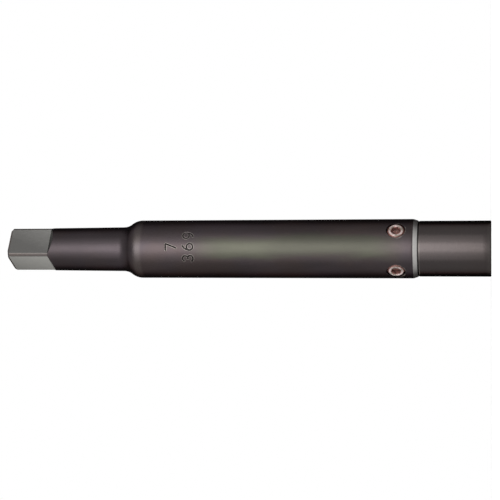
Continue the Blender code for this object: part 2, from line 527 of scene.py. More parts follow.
class ShapeTree(Graph):
    """A geometry tree with named inputs, whose result is kept as a plain mesh."""

    def __init__(self, name: str, inputs: dict[str, float | int]) -> None:
        """Start the tree with its inputs and one output.

        Args:
            name: The tree's name.
            inputs: Names and default values; whole numbers become integer inputs.
        """
        super().__init__(bpy.data.node_groups.new(name, "GeometryNodeTree"))
        face = self.tree.interface
        for label, value in inputs.items():
            kind = "NodeSocketInt" if isinstance(value, int) else "NodeSocketFloat"
            face.new_socket(label, in_out="INPUT", socket_type=kind).default_value = value
        face.new_socket("Material", in_out="INPUT", socket_type="NodeSocketMaterial")
        face.new_socket("Geometry", in_out="OUTPUT", socket_type="NodeSocketGeometry")
        self.group = self.node("NodeGroupInput")

    def given(self, *names: str) -> list[Wire]:
        """Wires of the inputs of these names, in their order."""
        return [Wire(self, find_socket(self.group.outputs, name)) for name in names]

    def cone(
        self,
        around: int,
        radii: tuple[Value, Value],
        depth: Value,
        lift: Value,
        flipped: bool = False,
    ) -> Wire:
        """Add a cone along Z.

        Args:
            around: Its sides.
            radii: Radius of its lower end and of its upper end.
            depth: Distance between the ends.
            lift: Height of its lower end.
            flipped: Whether it is turned over about that end.

        Returns:
            Its geometry.
        """
        sizes = {"Vertices": around, "Radius Bottom": radii[0], "Radius Top": radii[1], "Depth": depth}
        shape = self.wire("GeometryNodeMeshCone", {"fill_type": "NGON"}, sizes, "Mesh")
        place = self.wire("ShaderNodeCombineXYZ", None, {"Z": lift})
        turn = (math.pi if flipped else 0.0, 0.0, 0.0)
        sockets = {"Geometry": shape, "Translation": place, "Rotation": turn}
        return self.wire("GeometryNodeTransform", None, sockets, "Geometry")

    def end(self, shape: Wire) -> None:
        """End the tree with smooth flanks, sharp edges, real geometry and its material.

        Args:
            shape: The geometry that has been built.
        """
        smooth = self.wire(
            "GeometryNodeSetShadeSmooth", None, {"Geometry": shape, "Shade Smooth": True}, "Geometry"
        )
        angle = self.wire("GeometryNodeInputMeshEdgeAngle", output="Unsigned Angle")
        folded = self.math("GREATER_THAN", angle, THREAD_SHARP_ANGLE)
        sharp = self.wire(
            "GeometryNodeSetShadeSmooth",
            {"domain": "EDGE"},
            {"Geometry": smooth, "Selection": folded, "Shade Smooth": False},
            "Geometry",
        )
        real = self.wire("GeometryNodeRealizeInstances", None, {"Geometry": sharp}, "Geometry")
        sockets = {"Geometry": real, "Material": self.given("Material")[0]}
        dressed = self.wire("GeometryNodeSetMaterial", None, sockets, "Geometry")
        self.node("NodeGroupOutput", None, {"Geometry": dressed})

    def run(
        self, name: str, sizes: dict[str, float | int], finish: bpy.types.Material | None = None
    ) -> bpy.types.Mesh:
        """Run the tree on an empty object and keep its result as a plain mesh.

        Args:
            name: The mesh's name.
            sizes: Values of its named inputs.
            finish: The material for its Material input.

        Returns:
            The mesh.
        """
        holder = add_object(name + "_tree", bpy.data.meshes.new(name + "_tree"))
        modifier = holder.modifiers.new("build", "NODES")
        modifier.node_group = self.tree
        values = {**sizes, "Material": finish}
        for item in self.tree.interface.items_tree:
            if item.in_out == "INPUT" and item.name in values:
                modifier[item.identifier] = values[item.name]
        mesh = evaluated_mesh(holder, name)
        bpy.data.objects.remove(holder, do_unlink=True)
        return mesh


@dataclass(frozen=True)
class ThreadForm:
    """A screw thread.

    Attributes:
        crest: Outer radius.
        depth: Depth of the groove.
        pitch: Rise in one turn.
    """

    crest: float
    depth: float
    pitch: float = 25.4 / 24 * MM

    def sizes(self, ends: Point, chamfers: Point, grid: tuple[int, int]) -> dict[str, float | int]:
        """Values of the inputs that a threaded rod's tree has.

        Args:
            ends: Heights of the rod's low and high end.
            chamfers: How much narrower than the crest the rod is at each of them.
            grid: Faces round the rod and along it.

        Returns:
            The values by the inputs' names.
        """
        radii = (self.crest - chamfer for chamfer in chamfers)
        return dict(zip(ROD_INPUTS, (self.crest, self.depth, self.pitch, *ends, *radii, *grid)))


def threaded_rod(tree: ShapeTree) -> Wire:
    """Add the nodes of a threaded rod along Z, whose chamfer at the high end has a rubbed edge.

    Args:
        tree: The tree, with a rod's inputs.

    Returns:
        The rod's geometry.
    """
    crest, depth, pitch, low, high, low_radius, high_radius, around, rows = tree.given(*ROD_INPUTS)
    sizes = {"Vertices": around, "Side Segments": rows, "Radius": 1.0, "Depth": 1.0}
    bar = tree.wire("GeometryNodeMeshCylinder", {"fill_type": "TRIANGLE_FAN"}, sizes, "Mesh")
    x, y, z = tree.parts(tree.wire("GeometryNodeInputPosition", output="Position"))
    along = low + (z + 0.5) * (high - low)
    turn = tree.math("ARCTAN2", y, x) / (2 * math.pi)
    phase = tree.math("FRACT", along / pitch - turn)
    ridge = abs(phase * 2 - 1) * (1 + 2 * THREAD_FLAT) - THREAD_FLAT
    radius = crest - depth * (1 - tree.wire("ShaderNodeClamp", None, {"Value": ridge}, "Result"))
    limits = (
        low_radius + (along - low),
        high_radius + (high - along),
        high_radius - RUBBED_DEPTH + (high - along) * RUBBED_SLOPE,
    )
    for limit in limits:
        radius = tree.math("MINIMUM", radius, limit)
    place = tree.wire("ShaderNodeCombineXYZ", None, {"X": x * radius, "Y": y * radius, "Z": along})
    return tree.wire("GeometryNodeSetPosition", None, {"Geometry": bar, "Position": place}, "Geometry")


@dataclass(frozen=True)
class Place:
    """Where a shaded point lies on the part.

    Attributes:
        at: Its coordinates.
        x, y, z: The same, one by one.
        radius: Its distance from the body's axis.
    """

    at: Wire
    x: Wire
    y: Wire
    z: Wire
    radius: Wire

    @classmethod
    def of(cls, graph: Graph) -> "Place":
        """Read the shaded point in a shader graph.

        Args:
            graph: The graph.

        Returns:
            The place.
        """
        at = graph.wire("ShaderNodeTexCoord", output="Object")
        x, y, z = graph.parts(at)
        return cls(at, x, y, z, graph.math("SQRT", x * x + y * y))

    @property
    def graph(self) -> Graph:
        """The shader graph in which the point is read."""
        return self.at.graph

    def azimuth(self) -> Wire:
        """Direction of the point from the body's axis."""
        return self.graph.math("ARCTAN2", self.y, self.x)

    def from_screw(self, height: float) -> Wire:
        """Distance from the axis of the nearest set screw.

        Args:
            height: Height of the screws.

        Returns:
            The distance.
        """
        aside = self.graph.math("MINIMUM", abs(self.x), abs(self.y))
        drop = self.z - height
        return self.graph.math("SQRT", aside * aside + drop * drop)


@dataclass(frozen=True)
class OxideSteel:
    """Black-oxide steel with bare milled flats, a bare ring, rubbed edges, painted highlights and
    painted shade.

    Attributes:
        brown: Oxide film, brownest patches.
        purple: Oxide film, patches that lean to purple.
        olive_sheen: Oxide film of the streaks, one set under the front highlight as a painted sheen.
        nose: Oxide film of the nose, which is thinner and glossier.
        soot_and_shade: Oxide film, darkest patches, the numerals' strokes and painted shade in the
            groove.
        milled_dark, milled_light: Bare steel of the flats, from their painted shade to their lightest
            tone.
        turned_dark, turned_highlight: Bare steel of the ring, dull, and with a painted highlight on one
            side.
        rubbed_and_sheen: Rubbed edges and burrs, and painted highlights on rims, shoulder and groove
            edge.
        edge_tint: Share of its reflection that the steel keeps at grazing angles.
        ring_highlight_side: Azimuth of the ring's painted highlight.
        groove_highlight_side: Azimuth of the painted highlight on the nose's edge at the groove.
        roughness: Roughness of the oxide film on the barrel.
        nose_polish: How much smoother the nose is.
        bare_haze: How much rougher the bare steel is.
        grain: Distance between the film's fine turning lines.
        patch, streak, speck: Sizes of the film's colour patches, of its streaks and of its specks.
        streak_start, streak_end: Heights between which the barrel has olive streaks.
        streak_fade: Length over which the streaks fade out past them.
        mill_mark, turn_mark: Sizes of the marks on the flats and on the ring.
        rub: Size of the patches in which edges are rubbed.
        flat_tone: Tone of the pair of flats painted lighter, from the dark colour at 0 to the light at
            1.
        shaded_pair: How much darker the other pair is painted, as painted shade.
        shade_and_mark_range: Change of tone in the painted shade across and along a flat, and in its
            marks.
    """

    brown: Colour = (0.044, 0.034, 0.033)
    purple: Colour = (0.040, 0.033, 0.036)
    olive_sheen: Colour = (0.042, 0.042, 0.033)
    nose: Colour = (0.045, 0.039, 0.038)
    soot_and_shade: Colour = (0.018, 0.016, 0.016)
    milled_dark: Colour = (0.085, 0.083, 0.080)
    milled_light: Colour = (0.260, 0.257, 0.245)
    turned_dark: Colour = (0.090, 0.086, 0.084)
    turned_highlight: Colour = (0.330, 0.322, 0.312)
    rubbed_and_sheen: Colour = (0.150, 0.138, 0.125)
    edge_tint: Colour = (0.0, 0.0, 0.0)
    ring_highlight_side: float = math.radians(-42.0)
    groove_highlight_side: float = math.radians(-80.0)
    roughness: float = 0.37
    nose_polish: float = 0.11
    bare_haze: float = 0.10
    grain: float = 0.12 * MM
    patch: float = 26.0 * MM
    streak: float = 12.0 * MM
    speck: float = 1.1 * MM
    streak_start: float = 55.0 * MM
    streak_end: float = 120.0 * MM
    streak_fade: float = 20.0 * MM
    mill_mark: float = 0.5 * MM
    turn_mark: float = 0.6 * MM
    rub: float = 2.5 * MM
    flat_tone: float = 0.82
    shaded_pair: float = 0.66
    shade_and_mark_range: float = 0.2

    def material(self, body: "ExtensionBody") -> bpy.types.Material:
        """Build the finish round the body's own sizes.

        Args:
            body: The body that wears it.

        Returns:
            The material.
        """
        finish, graph = new_finish("black_oxide_steel")
        place = Place.of(graph)
        lines = graph.noise(graph.stretched(place.at, (0.03, 0.03, 1.0)), self.grain, 2.0)
        flats = self.flats_mask(place, body)
        ring = self.ring_mask(place, body)
        nose = graph.ramp(place.z, body.groove_end, body.groove_start)
        colour = graph.blend(nose * 0.8, self.film(place, body), self.nose)
        # Rubbed wear, with painted highlights on the rims, the shoulder and the groove's edge
        colour = graph.blend(self.wear_and_sheen(place, body), colour, self.rubbed_and_sheen)
        # Darker numerals' strokes, and painted shade in the groove beside the ring
        colour = graph.blend(self.hollow_mask(place, body), colour, self.soot_and_shade)
        # Flats with painted shade
        colour = graph.blend(flats, colour, self.milled(place, body))
        # Ring with a painted highlight on one side
        colour = graph.blend(ring, colour, self.turned(place))
        gloss = self.roughness + (lines - 0.5) * 0.08 - nose * self.nose_polish
        sockets = {
            "Base Color": colour,
            "Metallic": 1.0,
            "Roughness": gloss + (flats + ring) * self.bare_haze,
            "Specular Tint": (*self.edge_tint, 1.0),
        }
        graph.surface(sockets, lines, (0.12, 0.02 * MM))
        return finish

    def film(self, place: Place, body: "ExtensionBody") -> Wire:
        """Colour of the oxide film, in soft patches and in olive streaks along the barrel, one of which
        is a painted sheen under the front highlight.

        Args:
            place: The shaded point.
            body: The body.

        Returns:
            The colour.
        """
        graph = place.graph
        stops = [(0.40, self.purple), (0.62, self.brown)]
        patches = graph.noise(place.at, self.patch)
        colour = graph.wire("ShaderNodeValToRGB", {"stops": stops}, {"Fac": patches}, "Color")
        long_noise = graph.noise(graph.stretched(place.at, (1.0, 1.0, 0.25)), self.streak)
        # One olive streak is phased to lie under the front highlight: a painted sheen tint
        turn = place.azimuth() - body.numerals.side
        wave = graph.math("COSINE", turn * 3 + (long_noise - 0.5) * 3)
        along = graph.band(place.z, self.streak_start, self.streak_end, self.streak_fade)
        colour = graph.blend(graph.ramp(wave, 0.0, 0.9) * along, colour, self.olive_sheen)
        speckle = graph.noise(place.at, self.speck, 4.0)
        grime = graph.ramp(long_noise, 0.62, 0.4) * 0.25 + speckle * 0.12
        return graph.blend(grime, colour, self.soot_and_shade)

    def milled(self, place: Place, body: "ExtensionBody") -> Wire:
        """Colour of the drive square's flats with painted shade: one pair darker, each flat shaded
        across, and all darker towards the end.

        Args:
            place: The shaded point.
            body: The body.

        Returns:
            The colour.
        """
        graph = place.graph
        cosine, sine = math.cos(body.drive_turn), math.sin(body.drive_turn)
        x = place.x * cosine + place.y * sine
        y = place.y * cosine - place.x * sine
        first = graph.math("GREATER_THAN", abs(x), abs(y))
        across = first * y * graph.math("SIGN", x) - (1 - first) * x * graph.math("SIGN", y)
        along = (place.z - body.drive_root) / body.drive_length
        marks = graph.noise(graph.stretched(place.at, (1.0, 1.0, 0.2)), self.mill_mark)
        # Painted shade: one pair darker, and the tone falling across each flat and towards the end
        tone = self.flat_tone - first * self.shaded_pair + across * (self.shade_and_mark_range / body.drive_flat)
        tone = tone - along * self.shade_and_mark_range + (marks - 0.5) * self.shade_and_mark_range
        return graph.blend(tone, self.milled_dark, self.milled_light)

    def turned(self, place: Place) -> Wire:
        """Colour of the bare ring, with fine turning grooves and a painted highlight on one side.

        Args:
            place: The shaded point.

        Returns:
            The colour.
        """
        graph = place.graph
        # Painted highlight: the ring is painted lighter towards one side
        side = graph.math("COSINE", place.azimuth() - self.ring_highlight_side)
        grooves = graph.noise(graph.stretched(place.at, (0.01, 0.01, 1.0)), self.turn_mark, 1.0)
        tone = graph.ramp(side, 0.5, 1.0) * (1.3 - grooves * 0.6)
        return graph.blend(tone, self.turned_dark, self.turned_highlight)

    def flats_mask(self, place: Place, body: "ExtensionBody") -> Wire:
        """Mask of the drive square's flats and their run-outs.

        Args:
            place: The shaded point.
            body: The body.

        Returns:
            The mask.
        """
        graph = place.graph
        skin = body.shank_radius_top
        inside = graph.ramp(place.radius, skin - 0.04 * MM, skin - 0.10 * MM)
        low = body.drive_root - body.runout
        return inside * graph.band(place.z, low, body.top - body.drive_chamfer, 0.05 * MM)

    def ring_mask(self, place: Place, body: "ExtensionBody") -> Wire:
        """Mask of the bare ring between nose and barrel.

        Args:
            place: The shaded point.
            body: The body.

        Returns:
            The mask.
        """
        graph, skin = place.graph, body.nose_radius
        outside = graph.ramp(place.radius, skin - 0.3 * MM, skin - 0.1 * MM)
        low, high = body.groove_end + 0.05 * MM, body.barrel_start + 0.05 * MM
        return outside * graph.band(place.z, low, high, 0.08 * MM)

    def wear_and_sheen(self, place: Place, body: "ExtensionBody") -> Wire:
        """Mask of rubbed burrs, corners and nose, rims with a painted highlight, and painted highlights
        on shoulder and groove edge.

        Args:
            place: The shaded point.
            body: The body.

        Returns:
            The mask.
        """
        graph, skin = place.graph, body.barrel_radius
        uneven = graph.ramp(graph.noise(place.at, self.rub, 4.0), 0.35, 0.65)
        burrs = graph.ramp(place.radius, skin + 0.004 * MM, skin + 0.02 * MM)
        away = place.from_screw(body.screw_height)
        outside = graph.ramp(place.radius, skin - 1.3 * MM, skin - 0.9 * MM)
        # Rims rubbed in patches, and painted lighter only on their nose side as a painted highlight
        rim_wear_and_sheen = outside * graph.band(away, body.tapped.crest, body.rim_radius, 0.1 * MM)
        rim_wear_and_sheen = rim_wear_and_sheen * graph.ramp(place.z, body.screw_height + 1 * MM, body.screw_height - 3 * MM)
        corners = graph.ramp(place.z, body.drive_root - 0.2 * MM, body.drive_root + 0.3 * MM)
        # Painted highlight: a light line round the shoulder's round
        shoulder = graph.band(place.z, body.barrel_end - 1 * MM, body.barrel_end + 1 * MM, 1.5 * MM)
        nose = graph.ramp(place.z, 2.5 * MM, 0.8 * MM)
        # Painted highlight on the nose's edge at the groove, strongest towards one side
        side = graph.math("COSINE", place.azimuth() - self.groove_highlight_side)
        groove = graph.band(place.z, body.groove_start - 0.25 * MM, body.groove_start, 0.05 * MM)
        groove = groove * (0.15 + graph.ramp(side, 0.2, 0.9) * 0.4)
        total = burrs * 0.9 + rim_wear_and_sheen * uneven + corners * 0.25 + shoulder * 0.12 + nose * 0.1
        return graph.math("MINIMUM", total + groove, 1.0)

    def hollow_mask(self, place: Place, body: "ExtensionBody") -> Wire:
        """Mask that darkens the numerals' strokes, with painted shade in the groove beside the ring.

        Args:
            place: The shaded point.
            body: The body.

        Returns:
            The mask.
        """
        graph, skin = place.graph, body.barrel_radius
        struck = graph.ramp(place.radius, skin - 0.03 * MM, skin - 0.10 * MM)
        struck = struck * graph.band(place.z, *body.numerals.reach(), 0.5 * MM)
        # Painted shade in the groove beside the ring
        skin = body.nose_radius
        outside = graph.ramp(place.radius, skin - 0.6 * MM, skin - 0.3 * MM)
        groove = outside * graph.band(place.z, body.groove_start, body.groove_end, 0.06 * MM)
        return graph.math("MAXIMUM", struck * 0.9, groove * 0.9)


@dataclass(frozen=True)
class ScrewSteel:
    """Worn, browned steel of the set screws.

    Attributes:
        brown: Colour inside the hexagon and the thread.
        dirt: Colour of the deepest grime.
        pink: Colour of the rubbed outer end.
        grey: Colour of the outer end where it is rubbed less.
        speck, patch: Sizes of the specks of grime and of the rubbed patches.
        face_inner, face_outer: Radii between which the outer end is rubbed.
    """

    brown: Colour = (0.170, 0.068, 0.056)
    dirt: Colour = (0.070, 0.038, 0.032)
    pink: Colour = (0.46, 0.37, 0.36)
    grey: Colour = (0.17, 0.16, 0.13)
    speck: float = 0.7 * MM
    patch: float = 2.2 * MM
    face_inner: float = 2.35 * MM
    face_outer: float = 3.2 * MM

    def material(self, body: "ExtensionBody") -> bpy.types.Material:
        """Build the finish.

        Args:
            body: The body whose screws wear it.

        Returns:
            The material.
        """
        finish, graph = new_finish("worn_screw_steel")
        place = Place.of(graph)
        reach = graph.math("MAXIMUM", abs(place.x), abs(place.y))
        away = place.from_screw(body.screw_height)
        end = graph.ramp(reach, body.screw_face - 0.16 * MM, body.screw_face - 0.05 * MM)
        end = end * graph.band(away, self.face_inner, self.face_outer, 0.1 * MM)
        grime = graph.noise(place.at, self.speck, 4.0)
        patches = graph.ramp(graph.noise(place.at, self.patch, 2.0), 0.38, 0.58)
        colour = graph.blend(graph.ramp(grime, 0.40, 0.60), self.dirt, self.brown)
        face = graph.blend(patches, self.grey, self.pink)
        sockets = {
            "Base Color": graph.blend(end * (0.65 + grime * 0.5), colour, face),
            "Metallic": 0.35 + end * 0.6,
            "Roughness": 0.36 + grime * 0.2,
        }
        graph.surface(sockets, grime, (0.35, 0.05 * MM))
        return finish


@dataclass(frozen=True)
class FloorPaint:
    """Matt pale paint of the studio's floor, darker near the part, so that its shadow isn't lost.

    Attributes:
        shade, pale: Its grey near the part and far from it.
        start, end: Distances from the part's axis between which it changes.
        roughness: Its roughness.
    """

    shade: float = 0.70
    pale: float = 0.98
    start: float = 0.15
    end: float = 1.2
    roughness: float = 0.9

    def material(self) -> bpy.types.Material:
        """Build the finish."""
        finish, graph = new_finish("pale_floor")
        clear = graph.ramp(Place.of(graph).radius, self.start, self.end)
        greys = ((tone, tone, tone) for tone in (self.shade, self.pale))
        sockets = {
            "Base Color": graph.blend(clear, *greys),
            "Roughness": self.roughness,
            "Specular IOR Level": 0.0,
        }
        shader = graph.wire("ShaderNodeBsdfPrincipled", None, sockets)
        graph.node("ShaderNodeOutputMaterial", None, {"Surface": shader})
        return finish


@dataclass(frozen=True)
class Numerals:
    """Plain numerals struck into the barrel by hand, in rows that run round it.

    Attributes:
        rows: Figures of each row, and the height of their middle on the part.
        side: Azimuth of the rows' middle.
        spacing: Angle between two figures.
        height: Height of a figure.
        stroke: Half the width of a stroke.
        wall: Width of a stroke's sloping wall.
        depth: Depth of a stroke.
        burr_height, burr_width: The metal that a punch has raised beside each stroke.
        grid: Distance between the skin's lines under the figures.
        fade: Angle over which the strokes become shallower round the barrel.
        force, least_force: Share of the depth at the rows' middle, which is capped at 1, and the
            least share anywhere.
        half_width: Half the width of a figure, as a share of its height.
    """

    rows: tuple[tuple[str, float], ...] = (("7", 144.9 * MM), ("369", 137.0 * MM))
    side: float = math.radians(-34.6)
    spacing: float = math.radians(23.2)
    height: float = 4.9 * MM
    stroke: float = 0.31 * MM
    wall: float = 0.17 * MM
    depth: float = 0.30 * MM
    burr_height: float = 0.03 * MM
    burr_width: float = 0.24 * MM
    grid: float = 0.13 * MM
    fade: float = math.radians(42.0)
    force: float = 1.15
    least_force: float = 0.35
    half_width: float = 0.34

    def strokes(self, figure: str) -> list[list[Point]]:
        """Lines that a figure's punch strikes.

        Args:
            figure: The figure.

        Returns:
            Chains of points, in a box one high round the figure's middle.
        """
        return {
            "3": [bow((0, 0.24), (0.27, 0.26), 155, -90) + bow((0, -0.24), (0.30, 0.26), 90, -155)],
            "6": [bow((0, -0.20), (0.30, 0.30), 0, 360), bow((0.25, -0.20), (0.55, 0.70), 180, 105)],
            "7": [[(-0.29, 0.5), (0.29, 0.5), (-0.10, -0.5)]],
            "9": [bow((0, 0.20), (0.30, 0.30), 0, 360), bow((-0.25, 0.20), (0.55, 0.70), 0, -75)],
        }[figure]

    def figures(self) -> list[tuple[str, float, float]]:
        """Every figure with its azimuth and the height of its middle."""
        return [
            (figure, self.side + (place - (len(text) - 1) / 2) * self.spacing, height)
            for text, height in self.rows
            for place, figure in enumerate(text)
        ]

    def reach(self) -> Point:
        """Lowest and highest height that a figure or its burr touches."""
        margin = self.height / 2 + self.stroke + self.burr_width + self.grid
        heights = [height for _, height in self.rows]
        return min(heights) - margin, max(heights) + margin

    def heights(self) -> np.ndarray:
        """Heights of the skin's lines under the figures."""
        low, high = self.reach()
        return np.linspace(low, high, round((high - low) / self.grid) + 1)

    def azimuths(self, radius: float) -> np.ndarray:
        """Azimuths of the skin's lines under the figures.

        Args:
            radius: The barrel's radius.

        Returns:
            The azimuths.
        """
        places = [azimuth for _, azimuth, _ in self.figures()]
        margin = (self.half_width * self.height + self.stroke + self.burr_width) / radius
        low, high = min(places) - margin, max(places) + margin
        return np.linspace(low, high, round((high - low) * radius / self.grid) + 1)

    def relief(self, radius: float, azimuths: np.ndarray, height: float) -> np.ndarray:
        """How far the struck skin stands above the plain barrel, below zero in a stroke.

        Args:
            radius: The barrel's radius.
            azimuths: Azimuths of points at one height.
            height: Their height.

        Returns:
            The reliefs.
        """
        away = np.full(azimuths.shape, self.height)
        for figure, azimuth, middle in self.figures():
            if abs(height - middle) > self.height:
                continue
            turn = (azimuths - azimuth + math.pi) % (2 * math.pi) - math.pi
            across, up = radius * turn / self.height, (height - middle) / self.height
            for chain in self.strokes(figure):
                for start, end in zip(chain[:-1], chain[1:]):
                    gap = self.distance(across, up, start, end) * self.height
                    away = np.minimum(away, gap)
        turn = (azimuths - self.side + math.pi) % (2 * math.pi) - math.pi
        share = np.clip(self.force - turn / self.fade, self.least_force, 1.0)
        groove = self.depth * share * np.clip((self.stroke - away) / self.wall, 0, 1)
        middle = self.stroke + self.burr_width / 2
        burr = np.clip(1 - np.abs(away - middle) / (self.burr_width / 2), 0, 1)
        return self.burr_height * burr - groove

    @staticmethod
    def distance(across: np.ndarray, up: float, start: Point, end: Point) -> np.ndarray:
        """Distance of points from a straight stretch.

        Args:
            across: Each point's place across the figure.
            up: Their place up the figure.
            start: The stretch's start.
            end: Its end.

        Returns:
            The distances.
        """
        run, rise = end[0] - start[0], end[1] - start[1]
        share = ((across - start[0]) * run + (up - start[1]) * rise) / (run**2 + rise**2)
        share = np.clip(share, 0, 1)
        return np.hypot(across - start[0] - share * run, up - start[1] - share * rise)


@dataclass
class ExtensionBody:
    """The one-piece body: nose, ring, barrel, shoulder, shank and drive square.

    Attributes: sizes in metres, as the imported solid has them, and angles in radians. ring_blend is
        the rubbed edge between ring and barrel, as depths below the barrel and places along it.
        rim_slope is how deep a screw hole's countersink is for each unit of its width, and
        sharp_angle is the smallest angle between two faces that shows as an edge.
    """

    nose_radius: float = 12.65 * MM
    nose_length: float = 32.2 * MM
    nose_edge: float = 0.45 * MM
    ring_length: float = 2.2 * MM
    groove_width: float = 0.70 * MM
    groove_depth: float = 0.15 * MM
    groove_lift: float = 0.40 * MM
    barrel_radius: float = 13.5 * MM
    barrel_length: float = 127.0 * MM
    shoulder_round: float = 7.6 * MM
    shoulder_fillet: float = 7.9 * MM
    shoulder_angle: float = math.radians(36.0)
    shank_radius_low: float = 10.35 * MM
    shank_radius_top: float = 10.05 * MM
    shank_length: float = 34.83 * MM
    drive_length: float = 19.8 * MM
    drive_flat: float = 7.62 * MM
    drive_chamfer: float = 0.8 * MM
    drive_runout: float = math.radians(49.0)
    drive_turn: float = math.radians(-9.0)
    drive_edge: float = 0.18 * MM
    edge_blend: float = 0.25 * MM
    ring_blend: tuple[Point, ...] = (
        (0.20 * MM, -0.35 * MM),
        (0.10 * MM, 0.0),
        (0.03 * MM, 0.45 * MM),
        (0.0, 1.1 * MM),
    )
    bore_radius: float = 10.2 * MM
    bore_depth: float = 30.0 * MM
    socket_flat: float = 7.70 * MM
    socket_depth: float = 56.0 * MM
    mouth_chamfer: float = 0.7 * MM
    socket_corner: float = 10.1 * MM
    pilot_radius: float = 7.5 * MM
    pilot_depth: float = 60.0 * MM
    drill_point: float = math.radians(59.0)
    screw_height: float = 42.1 * MM
    screw_face: float = 13.1 * MM
    rim_radius: float = 4.47 * MM
    rim_slope: float = 1.15
    sharp_angle: float = math.radians(30.0)
    tapped: ThreadForm = field(default_factory=lambda: ThreadForm(4.27 * MM, 0.22 * MM))
    numerals: Numerals = field(default_factory=Numerals)

    @property
    def barrel_start(self) -> float:
        """Height where the ring reaches the barrel."""
        return self.nose_length + self.ring_length

    @property
    def barrel_end(self) -> float:
        """Height where the shoulder starts."""
        return self.barrel_start + self.barrel_length

    @property
    def top(self) -> float:
        """Height of the drive end."""
        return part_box("extension_body")[1].z

    @property
    def drive_root(self) -> float:
        """Height where the drive square's flats start."""
        return self.top - self.drive_length

    @property
    def runout(self) -> float:
        """Longest run-out of the milling cutter, at the middle of a flat."""
        return (self.shank_radius_top - self.drive_flat) / math.tan(self.drive_runout)

    @property
    def groove_start(self) -> float:
        """Height where the relief groove beside the ring starts."""
        return self.groove_end - self.groove_width

    @property
    def groove_end(self) -> float:
        """Height where the groove ends, a little way up the ring's slope."""
        return self.nose_length + self.groove_lift

    def shoulder(self) -> list[Point]:
        """Outline of the shoulder from the barrel to the shank."""
        slope = self.shoulder_angle
        rise = 1 - math.cos(slope)
        cone = self.barrel_radius - self.shank_radius_low
        cone -= (self.shoulder_round + self.shoulder_fillet) * rise
        centre = (self.barrel_radius - self.shoulder_round, self.barrel_end)
        upper = arc(centre, self.shoulder_round, 0, slope, 14)
        start = upper[-1][1] + cone / math.tan(slope) + self.shoulder_fillet * math.sin(slope)
        centre = (self.shank_radius_low + self.shoulder_fillet, start)
        return upper + arc(centre, self.shoulder_fillet, math.pi + slope, math.pi, 14)

    def outside(self) -> bpy.types.Mesh:
        """Skin of the outside, from the nose face up to the drive end."""
        sides = self.azimuths()
        rings = [self.ring(radius, z, sides) for radius, z in self.nose_rows()]
        rings += self.barrel_rings(sides)
        rings += [self.ring(radius, z, sides) for radius, z in self.shank_rows()]
        rings += self.drive_rings(sides)
        return ring_grid("extension_body_finished", np.array(rings))

    def nose_rows(self) -> list[Point]:
        """Outline from the middle of the nose face, past groove and ring, onto the barrel."""
        radius, edge, deep = self.nose_radius, self.nose_edge, self.groove_depth
        slope = (self.barrel_radius - radius) / self.ring_length
        first_line = 4 * MM
        return [
            (0.0, 0.0),
            (radius * 0.9, 0.0),
            *arc((radius - edge, edge), edge, -math.pi / 2, 0, 5),
            *((radius, z) for z in np.linspace(first_line, self.groove_start, 6)),
            (radius - deep, self.groove_start + deep),
            (radius - deep, self.groove_end - deep),
            (radius + self.groove_lift * slope, self.groove_end),
            *((self.barrel_radius - low, self.barrel_start + z) for low, z in self.ring_blend),
        ]

    def barrel_rings(self, sides: np.ndarray) -> list[np.ndarray]:
        """Rings of the barrel, close together and in relief under the numerals.

        Args:
            sides: Azimuths of the skin's lines.

        Returns:
            The rings.
        """
        radius, numerals = self.barrel_radius, self.numerals
        low, high = numerals.reach()
        first_line, last_line = 38 * MM, self.barrel_end - 2 * MM
        even = np.linspace(first_line, last_line, 24)
        heights = np.concatenate([even[even < low - MM], numerals.heights(), even[even > high + MM]])
        return [self.ring(radius + numerals.relief(radius, sides, z), z, sides) for z in heights]

    def shank_rows(self) -> list[Point]:
        """Outline of the shoulder and of the shank, up to just below the run-outs."""
        rows = self.shoulder()
        clear = self.drive_root - self.runout - 0.6 * MM
        return rows + [(self.shank_at(z), z) for z in np.linspace(rows[-1][1], clear, 6)[1:]]

    def drive_rings(self, sides: np.ndarray) -> list[np.ndarray]:
        """Rings of the drive square, which follow its run-outs, and of its rubbed end.

        Args:
            sides: Azimuths of the skin's lines.

        Returns:
            The rings.
        """
        folded = (sides - self.drive_turn + math.pi / 4) % (math.pi / 2) - math.pi / 4
        facing = np.cos(folded)
        run = np.maximum(self.shank_radius_top * facing - self.drive_flat, 0)
        run = np.maximum(run / math.tan(self.drive_runout), 0.12 * MM)
        below = (0.35 * MM, 0.18 * MM, 0.08 * MM)
        shares = (0, 0.08, 0.2, 0.4, 0.6, 0.8, 0.92, 1)
        above = (0.06 * MM, 0.2 * MM, 0.6 * MM, 2 * MM, 5 * MM, 9 * MM, 13 * MM, 17 * MM)
        heights = [self.drive_root - run - step for step in below]
        heights += [self.drive_root - run * (1 - share) for share in shares]
        heights += [self.drive_root + step + 0 * run for step in above]
        end = self.top - self.drive_chamfer
        heights += [end + step + 0 * run for step in np.linspace(-0.15 * MM, 0.6 * MM, 6)]
        rings = [self.ring(self.drive_radius(z, facing), z, sides) for z in heights]
        for angle in np.linspace(0.2, math.pi / 2, 4):
            z = self.top - self.drive_edge * (1 - math.sin(angle)) + 0 * run
            inset = self.drive_edge * (1 - math.cos(angle))
            rings.append(self.ring(self.drive_radius(z, facing) - inset, z, sides))
        last = self.drive_radius(self.top + 0 * run, facing) - self.drive_edge
        return rings + [self.ring(last * share, self.top, sides) for share in (0.97, 0.6, 0.0)]

